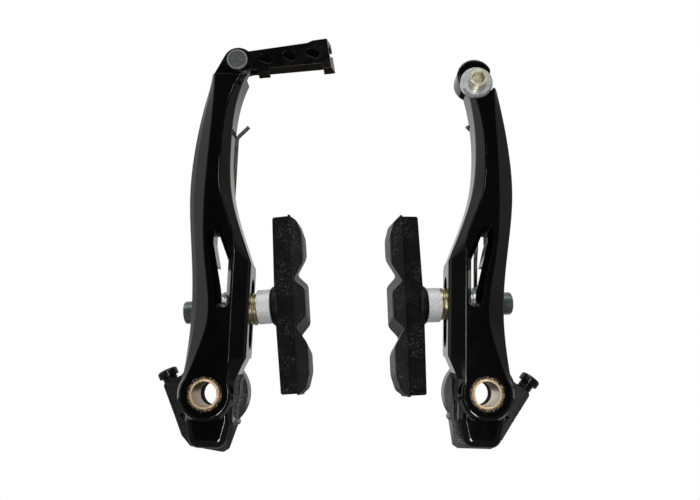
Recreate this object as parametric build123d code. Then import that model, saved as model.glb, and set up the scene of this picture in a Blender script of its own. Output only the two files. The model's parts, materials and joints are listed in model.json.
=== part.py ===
"""Linear-pull rim brake: the two arms of one wheel with their pads, as they stand side by side.

Frame, in millimetres: X runs from the left arm to the right arm as seen from the front, Y points
back to the bicycle's frame and Z points up along the arms. The origin is midway between the two
pivot axes, on the plane where the spring holders meet the bosses of the frame. Every piece is
drawn for the right arm about its own pivot axis, with x pointing outward, and is then placed on
its side: the left one is mirrored.
"""
from build123d import *
import math
import os

# The pair
PIVOT_SPACING = 90.7
ARM_LEAN = 1.7
SIDES = ("left", "right")

# Pivot, from the frame's boss forward
STUD_BORE_R = 4.05
BUSHING_R = 5.0
BUSHING_RIM_R = 4.65
BUSHING_PROUD = 0.6
KNURL_R = 5.7
KNURL_LENGTH = 2.4
KNURL_TEETH = 44
KNURL_DEPTH = 0.4
KNURL_SETBACK = 0.3
FIT = 0.02
RUNNING_FIT = 0.06
HOLDER_DEPTH = 8.0
HOLDER_GAP = 0.3
BOSS_R = 9.2
BOSS_LENGTH = 12.7
BOSS_BEVEL = 1.0
BOSS_ROUND = 1.2

# Arm body: front face, bevel and back
BEVEL_DEPTH = 2.0
ARM_DEPTH = 11.2
ARM_DRAFT = 0.5
CREASE_ROUND = 0.9
EDGE_ROUND = 0.7
INNER_ROUND_SHARE = 0.8

# Arm outline: height above the pivot, reach from the pivot axis, width of the front bevel
OUTER_LOW = ((0.0, 9.0, 0.8), (12.0, 7.0, 3.2), (24.0, 5.9, 5.3), (43.0, 6.9, 4.2), (66.0, 9.1, 4.8))
INNER_BOW = ((66.0, 4.7, 3.3), (54.5, 8.2, 2.6))
# Upper stations: drop below the tip, reach, width of the front bevel
OUTER_TOP = ((22.0, 8.0, 4.2),)
INNER_TOP = ((12.0, 3.9, 2.5), (25.0, 3.3, 3.0))
TIP_OUTER = {"left": 4.6, "right": 3.9}
TIP_INNER = {"left": 7.0, "right": 6.3}
TIP_BEVEL = 0.9
# Facet behind the outer bevel: change of reach at its front and back edge, in full from this height
OUTER_FACET = {"left": (-0.95, 0.8), "right": (0.0, 0.35)}
FACET_START = 24.0

# Lower block of the arm, under the boss
BLOCK_SETBACK = 3.5
BLOCK_DROP = 17.3
BLOCK_HALF_TOP = 7.8
BLOCK_HALF_BOTTOM = 5.9
BLOCK_SHIFT = -0.9
BLOCK_CORNER = 4.0
BLOCK_ROUND = 2.6

# Pad land, slot and the pocket for the outer washers
LAND_REACH = 12.4
CREASE_REACH = 7.0
CREASE_RISE = 4.0
SLOT_HEIGHT = 26.9
SLOT_LENGTH = 24.0
SLOT_ROOM = 0.75
LAND_ABOVE_SLOT = 4.5
LAND_BELOW_SLOT = 3.0
LAND_ROUND = 2.4
FRONT_WALL = 3.8
POCKET_ROOM = 0.25
POCKET_MARGIN = 1.2
POCKET_ROUND = 2.5

# Lightening window in the front wall, corners as reach and height, inner side negative
WINDOW = ((-6.2, 28.1), (-6.2, 44.5), (-1.8, 55.2), (2.6, 55.2), (2.6, 50.0), (-1.0, 34.0), (-1.6, 28.1))
WINDOW_ROUND = 2.0
WINDOW_TAPER = 24.0

# Ball washers and stud of each pad
STUD_R = 3.0
STUD_HEIGHT = {"left": 28.6, "right": 29.5}
DOME_R = 5.5
DOME_RIM = 2.0
DOME_SPHERE = 8.0
DOME_BORE_R = 4.4
DOME_GROOVE = 0.35
CUP_R = 5.8
CUP_GAP = 0.1
CUP_RIM_GAP = 0.6
INNER_CUP_LENGTH = 4.5
OUTER_CUP_LENGTH = 2.9
FLAT_WASHER_R = 5.6
FLAT_WASHER_THICK = 1.0
STACK_GAP = 0.05
THREAD_FIT = 0.05
NUT_R = 3.85
NUT_FLANGE_R = 4.9
NUT_FLANGE = 1.5
NUT_LENGTH = 8.6
NUT_HEX = 5.0
NUT_SOCKET = 4.2
PAD_TILT = {"left": 5.6, "right": -3.7}
PAD_TOE = {"left": 4.5, "right": 8.0}

# Brake pad: sizes across its depth are measured from its back
PAD_LENGTH = 60.0
PAD_BACKING = 6.5
PAD_THICK = 10.6
PAD_ROOF = 0.7
PAD_WIDTH = 12.0
PAD_BACK_WIDTH = 10.2
PAD_FACE_WIDTH = 9.4
PAD_LIP = 0.4
PAD_LIP_THICK = 0.7
PAD_END_SLOPE = 7.0
PAD_END_ROUND = 8.0
PAD_SHOULDER = 1.6
PAD_SHOULDER_SHARE = 0.57
PAD_SHOULDER_ROUND = 3.0
PAD_CORNER = 0.8
PAD_BOSS_R = 6.7
PAD_BOSS_PROUD = 1.6
PAD_BOSS_ROUND = 1.2
NOTCH_INNER = 5.5
NOTCH_APEX = 9.2
NOTCH_OUTER = 15.2
NOTCH_DEPTH = 3.7
NOTCH_ROUND = 1.2
NOTCH_SLANT = 14.0
END_LOBE_ROUND = 7.0
MID_LOBE_ROUND = 3.6
PLATE_R = 5.0
PLATE_THICK = 1.4
PLATE_COVER = 2.0

# Spring holder
HOLDER_R = 12.2
HOLDER_WALL = 1.0
HOLDER_TURN = {"left": 8.0, "right": 0.0}
POCKET_INNER_R = 5.95
POCKET_OUTER_R = 9.3
HOLDER_OUTLINE = (
    (-10.2, -6.0),
    (-8.2, -18.2),
    (3.6, -18.2),
    (7.3, -15.2),
    (11.0, -9.2),
    (17.0, 0.2),
    (10.9, 4.6),
    (0.0, 8.0),
)
HOLDER_CORNER = 1.1
NUB_R = 1.2
NUB_REACH = 12.4
NUB_ANGLE = 221.0
PIN_R = 1.2
PIN_SEAT_R = 1.5
PIN_REACH = 12.7
PIN_ANGLE = 263.0
PIN_PROUD = 3.5
PIN_SEAT = 4.0

# Tension screw in the holder's ear
SCREW_FOOT = (15.1, 1.5)
SCREW_ANGLE = 54.0
SCREW_Y = -4.6
SCREW_R = 2.0
SCREW_LENGTH = 13.6
SCREW_HEAD_R = 3.4
SCREW_HEAD = 2.4
SCREW_STANDOFF = {"left": 1.8, "right": 3.0}
CROSS_WIDTH = 1.0
CROSS_LENGTH = 3.8
CROSS_DEPTH = 1.2

# Return spring
WIRE_R = 0.7
COIL_R = 7.5
COIL_TURNS = 1.5
COIL_FRONT_Y = -5.9
COIL_REAR_Y = -3.0
FIXED_LEG_GAP = 0.1
FIXED_LEG_OFFSET = 2.5
FIXED_LEG_END = 4.3
LEG_REACH = {"left": -3.3, "right": -0.6}
LEG_RISE = 10.0
LEG_SETTLE = 27.0
LEG_CLEAR = 46.0
LEG_FORWARD = 61.0
LEG_UPPER_Y = -7.7
LEG_HOOK = 90.3
LEG_TIP = (-4.0, 4.3)
LEG_BEND = 4.0
STOP_R = 1.5
STOP_HEIGHT = 83.5
STOP_SEAT = 4.0
STOP_PROUD = 4.2
STOP_GAP = 0.1

# Cable link and its rivet, on the left arm
RIVET_REACH = -3.9
RIVET_HEIGHT = 114.8
RIVET_R = 2.0
RIVET_HEAD_R = 3.55
RIVET_HEAD = 1.2
TONGUE_R = 5.3
TONGUE_THICK = 3.0
TONGUE_SETBACK = 2.6
TONGUE_SHOULDER = 20.0
TIP_BELOW_RIVET = 5.6
LINK_SHEET = 1.2
LINK_FIT = 0.1
LINK_RISE = 10.5
LINK_LENGTH = 32.0
LINK_EYE_R = 4.5
LINK_TOP = 2.7
LINK_BOTTOM = -4.0
LINK_BOTTOM_END = -5.8
LINK_WEB_START = 6.4
LINK_TAB = 1.1
LINK_TAB_LENGTH = 4.0
LINK_HOLE_START = 9.8
LINK_HOLE_PITCH = 8.35
LINK_HOLES = 3
LINK_HOLE_LENGTH = 4.8
LINK_HOLE_WIDTH = 2.8
LINK_HOLE_SLANT = 30.0
LINK_CREST = 0.6
LINK_CREST_LENGTH = 7.0
LINK_CREST_RAMP = 2.0
LINK_END_BOTTOM = -7.6
LINK_END_SLANT = 14.0
LINK_LIP = 2.6
SEAT_R = 2.2
SEAT_DROP = 0.9
SEAT_SLIT = 1.6

# Cable anchor, on the right arm
ANCHOR_REACH = -3.2
ANCHOR_HEIGHT = 106.0
ANCHOR_SEAT = 2.0
ANCHOR_WASHER_R = 5.6
ANCHOR_WASHER = 2.2
ANCHOR_WASHER_STEP = 0.8
ANCHOR_BOLT_R = 2.5
ANCHOR_HEAD_R = 3.1
ANCHOR_HEAD = 3.4
ANCHOR_HEX = 4.0
ANCHOR_HEX_DEPTH = 3.0
LOBE_R = 6.1
LOBE_RISE = 3.2
LOBE_SHIFT = -0.4
LOBE_TRIM = 1.8
CABLE_R = 0.85
CABLE_ABOVE = 3.5
TIP_BELOW_ANCHOR = 2.0

# Depths that follow from the sizes above, negative towards the viewer
BOSS_BACK = -(HOLDER_DEPTH + HOLDER_GAP)
BOSS_FRONT = BOSS_BACK - BOSS_LENGTH
BUSHING_FRONT = BOSS_FRONT - BUSHING_PROUD
ARM_FRONT = BOSS_FRONT
ARM_MID = ARM_FRONT + BEVEL_DEPTH
ARM_BACK = ARM_FRONT + ARM_DEPTH
BLOCK_FRONT = BOSS_FRONT + BLOCK_SETBACK
POCKET_FRONT = ARM_FRONT + FRONT_WALL
STUD_Y = POCKET_FRONT + CUP_R + POCKET_ROOM
LAND_BACK = STUD_Y + CUP_R
SEAT_FRONT = ARM_FRONT + ANCHOR_SEAT
TONGUE_FRONT = ARM_FRONT + TONGUE_SETBACK
TONGUE_BACK = TONGUE_FRONT + TONGUE_THICK
INNER_ROUND = INNER_ROUND_SHARE * (POCKET_FRONT - ARM_MID)

# Pad stack, measured along the stud from the centre of the two ball seats
DOME_EDGE = math.sqrt(DOME_SPHERE**2 - DOME_R**2)
BALL_REACH = -LAND_REACH - DOME_RIM + DOME_EDGE
WEB_FACE = -LAND_REACH + 2 * (DOME_EDGE - DOME_RIM)
CUP_RIM = DOME_EDGE + CUP_RIM_GAP
INNER_CUP_END = CUP_RIM + INNER_CUP_LENGTH
OUTER_CUP_END = CUP_RIM + OUTER_CUP_LENGTH
FLAT_WASHER_START = OUTER_CUP_END + STACK_GAP
NUT_START = FLAT_WASHER_START + FLAT_WASHER_THICK + STACK_GAP
NUT_END = NUT_START + NUT_LENGTH
PAD_BACK = INNER_CUP_END + STACK_GAP + PAD_BOSS_PROUD
PLATE_START = PAD_BACK + PLATE_COVER

SLOT_TOP = SLOT_HEIGHT + SLOT_LENGTH / 2
SLOT_BOTTOM = SLOT_HEIGHT - SLOT_LENGTH / 2
LAND_TOP = SLOT_TOP + LAND_ABOVE_SLOT
LAND_BOTTOM = SLOT_BOTTOM - LAND_BELOW_SLOT
TIP_HEIGHT = {"left": RIVET_HEIGHT - TIP_BELOW_RIVET, "right": ANCHOR_HEIGHT - TIP_BELOW_ANCHOR}
BEYOND = 60.0
OVERCUT = 1.0
SKIM = 0.01


def facing(y):
    """The plane at depth y that looks at the viewer, drawn in reach and height."""
    return Plane(origin=(0, y, 0), x_dir=(1, 0, 0), z_dir=(0, -1, 0))


def slab(outline, y_front, y_back):
    return extrude(facing(y_back) * outline, amount=y_back - y_front)


def rod(reach, height, radius, y_front, y_back):
    return slab(Pos(reach, height) * Circle(radius), y_front, y_back)


def polar(radius, angle):
    turn = math.radians(angle)
    return (radius * math.cos(turn), radius * math.sin(turn))


def place(piece, side):
    """Moves a piece drawn about its pivot, x outward, to its side of the pair."""
    if side == "left":
        piece = mirror(piece, about=Plane.YZ)
    hand = -1 if side == "left" else 1
    return Location((hand * PIVOT_SPACING / 2, 0, 0), (0, ARM_LEAN, 0)) * piece


def arm_section(side, bevel, swell, y):
    """Outline of the arm at one depth: the bevel share is 1 on the front face and 0 behind it."""
    tip = TIP_HEIGHT[side]
    outer = []
    for height, reach, cut in OUTER_LOW:
        outer += [(reach - bevel * cut + swell * min(1, height / FACET_START), height)]
    outer += [(reach - bevel * cut + swell, tip - drop) for drop, reach, cut in OUTER_TOP]
    outer += [(TIP_OUTER[side] - bevel * TIP_BEVEL, tip)]
    inner = [(-TIP_INNER[side] + bevel * TIP_BEVEL, tip)]
    inner += [(-reach + bevel * cut, tip - drop) for drop, reach, cut in INNER_TOP]
    inner += [(-reach + bevel * cut, height) for height, reach, cut in INNER_BOW]
    land = -LAND_REACH + bevel * (LAND_REACH - CREASE_REACH)
    shelf = (land, LAND_TOP + bevel * CREASE_RISE)
    heel = (land, LAND_BOTTOM)
    foot = (-BOSS_R + bevel * (BOSS_R - CREASE_REACH), BOSS_R / 2)
    base = (foot[0], 0)
    edges = [
        Spline(*outer),
        Line(outer[-1], inner[0]),
        Spline(*inner, shelf),
        Line(shelf, heel),
        Line(heel, foot),
        Line(foot, base),
        Line(base, outer[0]),
    ]
    return facing(y) * make_face(edges)


def long_edges(piece, y, least):
    """Edges that run up the piece at one depth."""
    return [edge for edge in piece.edges() if edge.length > least and abs(edge.center().Y - y) < 0.1]


def arm_body(side):
    facet_front, facet_back = OUTER_FACET[side]
    sections = [
        arm_section(side, 0, facet_back + ARM_DRAFT, ARM_BACK),
        arm_section(side, 0, facet_back, POCKET_FRONT),
        arm_section(side, 0, facet_front, ARM_MID),
        arm_section(side, 1, 0, ARM_FRONT),
    ]
    body = loft(sections, ruled=True)
    longest = LAND_TOP - LAND_BOTTOM - OVERCUT
    body = fillet(long_edges(body, ARM_FRONT, longest), CREASE_ROUND)
    inner = [edge for edge in long_edges(body, ARM_MID, longest) if edge.center().X < 0]
    body = fillet(inner, INNER_ROUND)
    outer = [edge for edge in long_edges(body, ARM_MID, longest) if edge.center().X > 0]
    return fillet(outer, EDGE_ROUND)


def arm_boss():
    """Round foot of the arm, with a bevel that carries on from the arm's own."""
    corners = [
        (0, BOSS_FRONT),
        (BOSS_R - BOSS_BEVEL, BOSS_FRONT),
        (BOSS_R, ARM_MID),
        (BOSS_R, BOSS_BACK),
        (0, BOSS_BACK),
    ]
    outline = make_face(FilletPolyline(*corners, radius=[0, BOSS_ROUND, BOSS_ROUND, 0, 0], close=True))
    return revolve(outline, axis=Axis.Y)


def arm_block():
    """The tongue of the arm below the boss, set back from its front."""
    corners = [
        (BLOCK_SHIFT - BLOCK_HALF_TOP, 0),
        (BLOCK_SHIFT - BLOCK_HALF_TOP, -BLOCK_DROP / 2),
        (BLOCK_SHIFT - BLOCK_HALF_BOTTOM, -BLOCK_DROP),
        (BLOCK_SHIFT + BLOCK_HALF_BOTTOM, -BLOCK_DROP),
        (BLOCK_SHIFT + BLOCK_HALF_TOP, -BLOCK_DROP / 2),
        (BLOCK_SHIFT + BLOCK_HALF_TOP, 0),
    ]
    radii = [0, BLOCK_CORNER, BLOCK_CORNER, BLOCK_CORNER, BLOCK_CORNER, 0]
    outline = make_face(FilletPolyline(*corners, radius=radii, close=True))
    block = slab(outline, BLOCK_FRONT, BOSS_BACK)
    return fillet(block.edges().group_by(Axis.Y)[0], BLOCK_ROUND)


def pad_land():
    """The flat web that the pad's washers clamp, deeper than the rest of the arm."""
    middle = Pos((WEB_FACE - LAND_REACH) / 2, (LAND_TOP + LAND_BOTTOM) / 2)
    outline = middle * Rectangle(WEB_FACE + LAND_REACH, LAND_TOP - LAND_BOTTOM)
    land = slab(outline, ARM_MID + INNER_ROUND, LAND_BACK)
    ends = land.edges().filter_by(Axis.X).group_by(Axis.Y)[-1]
    return fillet(ends, LAND_ROUND)


def pad_slot():
    width = 2 * (STUD_R + SLOT_ROOM)
    outline = SlotOverall(SLOT_LENGTH, width, rotation=90)
    plane = Plane(origin=(-LAND_REACH - OVERCUT, STUD_Y, SLOT_HEIGHT), x_dir=(0, 1, 0), z_dir=(1, 0, 0))
    return extrude(plane * outline, amount=WEB_FACE + LAND_REACH + 2 * OVERCUT)


def washer_pocket():
    """Room behind the front wall for the outer washers and the nut, open outward and to the back."""
    low = SLOT_BOTTOM + STUD_R - CUP_R - POCKET_MARGIN + SLOT_ROOM
    high = SLOT_TOP - STUD_R + CUP_R + POCKET_MARGIN - SLOT_ROOM
    outline = Pos(WEB_FACE + BEYOND / 2, (low + high) / 2) * Rectangle(BEYOND, high - low)
    pocket = slab(outline, POCKET_FRONT, BEYOND)
    inner = pocket.edges().filter_by(Axis.Y).group_by(Axis.X)[0]
    return fillet(inner, POCKET_ROUND)


def window():
    outline = make_face(FilletPolyline(*WINDOW, radius=WINDOW_ROUND, close=True))
    mouth = extrude(facing(ARM_FRONT - SKIM) * outline, amount=-FRONT_WALL, taper=WINDOW_TAPER)
    throat = mouth.faces().sort_by(Axis.Y)[-1]
    return mouth + extrude(throat, amount=ARM_DEPTH)


def stop_reach(side):
    """The spring's long leg presses outward on this pin."""
    return LEG_REACH[side] + WIRE_R + STOP_GAP + STOP_R


def anchor_lobe():
    """Round top of the right arm, behind the cable anchor."""
    lobe = rod(ANCHOR_REACH + LOBE_SHIFT, ANCHOR_HEIGHT + LOBE_RISE, LOBE_R, SEAT_FRONT, ARM_BACK)
    return fillet(lobe.edges().group_by(Axis.Y)[0], EDGE_ROUND)


def anchor_cuts():
    """The washer's seat, the trimmed outer side, the bolt's hole and the groove for the cable."""
    washer_room = ANCHOR_WASHER_R + POCKET_ROOM
    seat = rod(ANCHOR_REACH, ANCHOR_HEIGHT, washer_room, ARM_FRONT - OVERCUT, SEAT_FRONT)
    above = Pos(ANCHOR_REACH, ANCHOR_HEIGHT + BEYOND / 2) * Rectangle(BEYOND, BEYOND)
    seat += slab(above, ARM_FRONT - OVERCUT, SEAT_FRONT)
    trim_corner = (LOBE_TRIM + BEYOND / 2, ANCHOR_HEIGHT + BEYOND / 2)
    trim = slab(Pos(*trim_corner) * Rectangle(BEYOND, BEYOND), ARM_FRONT - OVERCUT, BEYOND)
    hole = rod(ANCHOR_REACH, ANCHOR_HEIGHT, ANCHOR_BOLT_R + THREAD_FIT, ARM_FRONT - OVERCUT, BEYOND)
    groove = Cylinder(CABLE_R, BEYOND, rotation=(0, 90, 0))
    groove = Pos(ANCHOR_REACH, SEAT_FRONT, ANCHOR_HEIGHT + CABLE_ABOVE) * groove
    return seat + trim + hole + groove


def link_tongue():
    """The flat top of the left arm that the link straddles."""
    tip = TIP_HEIGHT["left"]
    shoulder = polar(TONGUE_R, TONGUE_SHOULDER)
    neck = [
        (0, tip - TONGUE_R),
        (TIP_OUTER["left"], tip - TONGUE_R),
        (TIP_OUTER["left"], tip),
        (RIVET_REACH + shoulder[0], RIVET_HEIGHT + shoulder[1]),
        (RIVET_REACH - TONGUE_R, RIVET_HEIGHT),
        (-TIP_INNER["left"], tip),
    ]
    outline = make_face(Polyline(*neck, close=True)) + Pos(RIVET_REACH, RIVET_HEIGHT) * Circle(TONGUE_R)
    tongue = slab(outline, TONGUE_FRONT, TONGUE_BACK)
    return tongue - rod(RIVET_REACH, RIVET_HEIGHT, RIVET_R + FIT, TONGUE_FRONT - OVERCUT, BEYOND)


def arm(side):
    piece = arm_body(side) + arm_boss() + arm_block() + pad_land()
    if side == "right":
        piece = piece + anchor_lobe() - anchor_cuts()
    else:
        piece = piece + link_tongue()
    piece -= pad_slot()
    piece -= washer_pocket()
    piece -= window()
    piece -= rod(0, 0, BUSHING_R + FIT, BOSS_FRONT - OVERCUT, BEYOND)
    piece -= rod(0, 0, KNURL_R + FIT, BOSS_FRONT - OVERCUT, BOSS_FRONT + KNURL_LENGTH)
    piece -= rod(stop_reach(side), STOP_HEIGHT, STOP_R + FIT, ARM_BACK - STOP_SEAT, BEYOND)
    return piece


def pivot_bushing():
    """Brass tube on the frame's stud, with a knurled collar pressed into the arm."""
    teeth = []
    for tooth in range(KNURL_TEETH):
        step = 360 / KNURL_TEETH
        teeth += [polar(KNURL_R, tooth * step), polar(KNURL_R - KNURL_DEPTH, (tooth + 0.5) * step)]
    front = BOSS_FRONT + KNURL_SETBACK
    collar = slab(make_face(Polyline(*teeth, close=True)), front, BOSS_FRONT + KNURL_LENGTH)
    tube = rod(0, 0, BUSHING_R, BOSS_FRONT, 0)
    rim = rod(0, 0, BUSHING_RIM_R, BUSHING_FRONT, BOSS_FRONT)
    rim = fillet(rim.edges().group_by(Axis.Y)[0], BUSHING_PROUD / 2)
    return tube + collar + rim - rod(0, 0, STUD_BORE_R, BUSHING_FRONT - OVERCUT, BEYOND)


def screw_axis(distance):
    """Frame on the tension screw's axis, this far out of the ear, with Z along the screw."""
    along = polar(1, SCREW_ANGLE)
    spot = (SCREW_FOOT[0] + along[0] * distance, SCREW_Y, SCREW_FOOT[1] + along[1] * distance)
    return Plane(origin=spot, x_dir=(0, 1, 0), z_dir=(along[0], 0, along[1])).location


def along_screw(radius, start, end):
    bar = Cylinder(radius, end - start, align=(Align.CENTER, Align.CENTER, Align.MIN))
    return screw_axis(start) * bar


def turned(piece, side):
    """Turns what the spring holder carries with it about the pivot."""
    return Rot(0, -HOLDER_TURN[side], 0) * piece


def leg_rest(side):
    """Where the spring's fixed leg rests: its distance along the screw, past the pivot's foot."""
    along = polar(1, SCREW_ANGLE)
    foot = SCREW_FOOT[0] * along[0] + SCREW_FOOT[1] * along[1]
    return foot + SCREW_STANDOFF[side] - SCREW_LENGTH - WIRE_R - FIXED_LEG_GAP


def fixed_way(side):
    """Slot in the holder for the fixed leg, square to the tension screw."""
    width = 2 * (WIRE_R + POCKET_ROOM)
    length = FIXED_LEG_END + COIL_R - POCKET_INNER_R
    middle = Pos(POCKET_INNER_R + length / 2 + WIRE_R, leg_rest(side))
    outline = Rot(0, 0, SCREW_ANGLE - 90) * middle * Rectangle(length, width)
    return slab(outline, -HOLDER_DEPTH, COIL_FRONT_Y + WIRE_R + POCKET_ROOM)


def spring_holder(side):
    """Moulding on the frame's boss: it holds the coil, the fixed leg and the tension screw."""
    plate = make_face(FilletPolyline(*HOLDER_OUTLINE, radius=HOLDER_CORNER, close=True))
    holder = slab(plate + Circle(HOLDER_R), -HOLDER_DEPTH, 0)
    holder += rod(*polar(NUB_REACH, NUB_ANGLE), NUB_R, -HOLDER_DEPTH, -HOLDER_WALL)
    ring = Circle(POCKET_OUTER_R) - Circle(POCKET_INNER_R)
    holder -= slab(ring, -HOLDER_DEPTH, -HOLDER_WALL)
    exit_way = Pos(-COIL_R, HOLDER_R / 2) * Rectangle(2 * (WIRE_R + POCKET_ROOM), HOLDER_R)
    holder -= slab(exit_way, -HOLDER_DEPTH, -HOLDER_WALL)
    holder -= fixed_way(side)
    holder -= along_screw(SCREW_R + RUNNING_FIT, SCREW_STANDOFF[side] - SCREW_LENGTH - POCKET_ROOM, BEYOND)
    holder -= rod(*polar(PIN_REACH, PIN_ANGLE), PIN_SEAT_R + FIT, -PIN_SEAT, BEYOND)
    return holder - rod(0, 0, BUSHING_R + RUNNING_FIT, -BEYOND, BEYOND)


def locating_pin():
    """Stepped pin: its wide end sits in the holder and its free end in the frame's boss."""
    spot = polar(PIN_REACH, PIN_ANGLE)
    return rod(*spot, PIN_SEAT_R, -PIN_SEAT, 0) + rod(*spot, PIN_R, 0, PIN_PROUD)


def spring_stop(side):
    return rod(stop_reach(side), STOP_HEIGHT, STOP_R, ARM_BACK - STOP_SEAT, ARM_BACK + STOP_PROUD)


def tension_screw(side):
    standoff = SCREW_STANDOFF[side]
    shank = along_screw(SCREW_R, standoff - SCREW_LENGTH, standoff)
    head = Cylinder(SCREW_HEAD_R, SCREW_HEAD, align=(Align.CENTER, Align.CENTER, Align.MIN))
    head = fillet(head.edges().group_by(Axis.Z)[-1], SCREW_HEAD / 3)
    for turn in (0, 90):
        cut = Box(CROSS_LENGTH, CROSS_WIDTH, 2 * CROSS_DEPTH)
        head -= Pos(0, 0, SCREW_HEAD) * Rot(0, 0, turn) * cut
    return shank + screw_axis(standoff) * head


def wire(path):
    start = Plane(origin=path @ 0, z_dir=path % 0)
    return sweep(start * Circle(WIRE_R), path=path)


def spring_coil(side):
    """Centre line of the coil, from the fixed leg's bend to the foot of the long leg."""
    corner = math.hypot(COIL_R, FIXED_LEG_OFFSET)
    bend = SCREW_ANGLE - 90 + math.degrees(math.asin(leg_rest(side) / corner))
    start = bend - math.degrees(math.atan2(FIXED_LEG_OFFSET, COIL_R))
    rise = COIL_REAR_Y - COIL_FRONT_Y
    helix = Helix(rise * 360 / (start + 360 * COIL_TURNS), rise, COIL_R)
    return turned(Location((0, COIL_FRONT_Y, 0), (0, -start, 0)) * Rot(-90, 0, 0) * helix, side)


def return_spring(side):
    """Coil in the holder, a short fixed leg at the screw's tip, and the long leg up the arm."""
    helix = spring_coil(side)
    coil = sweep(Plane(origin=helix @ 0, z_dir=helix % 0) * Circle(WIRE_R), path=helix, is_frenet=True)
    begin = helix @ 0
    corner = begin - (helix % 0) * FIXED_LEG_OFFSET
    outward = polar(FIXED_LEG_END, SCREW_ANGLE - 90 + HOLDER_TURN[side])
    far = corner + Vector(outward[0], 0, outward[1])
    fixed_leg = wire(FilletPolyline(far, corner, begin, radius=2 * WIRE_R))
    leave = helix @ 1
    up = leave + (helix % 1) * LEG_RISE
    reach = LEG_REACH[side]
    points = [
        leave,
        up,
        (reach, up.Y, LEG_SETTLE),
        (reach, up.Y, LEG_CLEAR),
        (reach, LEG_UPPER_Y, LEG_FORWARD),
        (reach, LEG_UPPER_Y, LEG_HOOK),
        (reach + LEG_TIP[0], LEG_UPPER_Y, LEG_HOOK + LEG_TIP[1]),
    ]
    bends = [LEG_BEND] * 4 + [LEG_BEND / 2]
    long_leg = wire(FilletPolyline(*points, radius=bends))
    return coil + fixed_leg + long_leg


def on_stud(piece, side):
    """Puts a piece drawn along Z, from the ball centre outward, on the tilted stud."""
    seat = Location((BALL_REACH, STUD_Y, STUD_HEIGHT[side])) * Rot(0, 0, PAD_TOE[side])
    return seat * Rot(0, PAD_TILT[side] + 90, 0) * piece


def beside_stud(piece, side):
    """Puts a piece drawn along Z, from the ball centre outward, square on the arm's web."""
    return Location((BALL_REACH, STUD_Y, STUD_HEIGHT[side]), (0, 90, 0)) * piece


def disc(radius, start, end):
    return Pos(0, 0, start) * Cylinder(radius, end - start, align=(Align.CENTER, Align.CENTER, Align.MIN))


def dome_washer(hand):
    """Washer flat on the web with a ball face away from it; hand is -1 on the pad's side."""
    base = DOME_EDGE - DOME_RIM
    blank = disc(DOME_R, base, DOME_SPHERE) & Sphere(DOME_SPHERE)
    blank -= Pos(0, 0, base + DOME_RIM / 2) * Torus(DOME_R, DOME_GROOVE)
    blank -= disc(DOME_BORE_R, 0, DOME_SPHERE)
    return blank if hand > 0 else Rot(180, 0, 0) * blank


def cup_washer(hand, end):
    blank = disc(CUP_R, CUP_RIM, end) - Sphere(DOME_SPHERE + CUP_GAP)
    blank -= disc(STUD_R + THREAD_FIT, 0, end + OVERCUT)
    return blank if hand > 0 else Rot(180, 0, 0) * blank


def flat_washer():
    start = FLAT_WASHER_START
    return disc(FLAT_WASHER_R, start, start + FLAT_WASHER_THICK) - disc(STUD_R + THREAD_FIT, 0, NUT_START)


def pad_nut():
    barrel = disc(NUT_R, NUT_START, NUT_END)
    barrel = fillet(barrel.edges().group_by(Axis.Z)[-1], NUT_FLANGE / 3)
    barrel += disc(NUT_FLANGE_R, NUT_START, NUT_START + NUT_FLANGE)
    barrel -= disc(STUD_R + THREAD_FIT, 0, NUT_END)
    hexagon = Pos(0, 0, NUT_END - NUT_SOCKET) * RegularPolygon(NUT_HEX / 2, 6, major_radius=False)
    return barrel - extrude(hexagon, amount=NUT_SOCKET + OVERCUT)


def pad_stud():
    """Threaded stud with the round plate that is moulded into the pad."""
    stud = disc(STUD_R, -PLATE_START - PLATE_THICK, NUT_END - NUT_SOCKET)
    return stud + disc(PLATE_R, -PLATE_START - PLATE_THICK, -PLATE_START)


def mirrored_face(rows, lead):
    """Face of a pad profile: rows of depth, half size and corner round, mirrored about the middle."""
    rows = rows + [(depth, -half, radius) for depth, half, radius in reversed(rows)]
    corners = lead + [(depth, half) for depth, half, radius in rows]
    radii = [0] * len(lead) + [radius for depth, half, radius in rows]
    return make_face(FilletPolyline(*corners, radius=radii, close=True))


def pad_side_face():
    """Pad seen along its width: depth from its back, and length."""
    half = PAD_LENGTH / 2
    body_half = half - PAD_LIP
    under = PAD_BACKING - PAD_LIP_THICK / 2
    over = PAD_BACKING + PAD_LIP_THICK / 2
    shoulder = over + PAD_SHOULDER_SHARE * (PAD_THICK - over)
    rows = [
        (PAD_ROOF, body_half, PAD_CORNER),
        (under, body_half, 0),
        (under, half, 0),
        (over, half, 0),
        (over, body_half, 0),
        (shoulder, body_half - PAD_SHOULDER, PAD_SHOULDER_ROUND),
        (PAD_THICK, body_half - PAD_END_SLOPE, PAD_END_ROUND),
    ]
    return mirrored_face(rows, [(0, 0)])


def pad_cross_face():
    """Pad seen along its length: depth from its back, and width."""
    half = PAD_WIDTH / 2
    under = PAD_BACKING - PAD_LIP_THICK / 2
    over = PAD_BACKING + PAD_LIP_THICK / 2
    rows = [
        (0, PAD_BACK_WIDTH / 2, 0),
        (under, half - PAD_LIP, 0),
        (under, half, 0),
        (over, half, 0),
        (over, half - PAD_LIP, 0),
        (PAD_THICK, PAD_FACE_WIDTH / 2, PAD_CORNER),
    ]
    return mirrored_face(rows, [])


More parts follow.
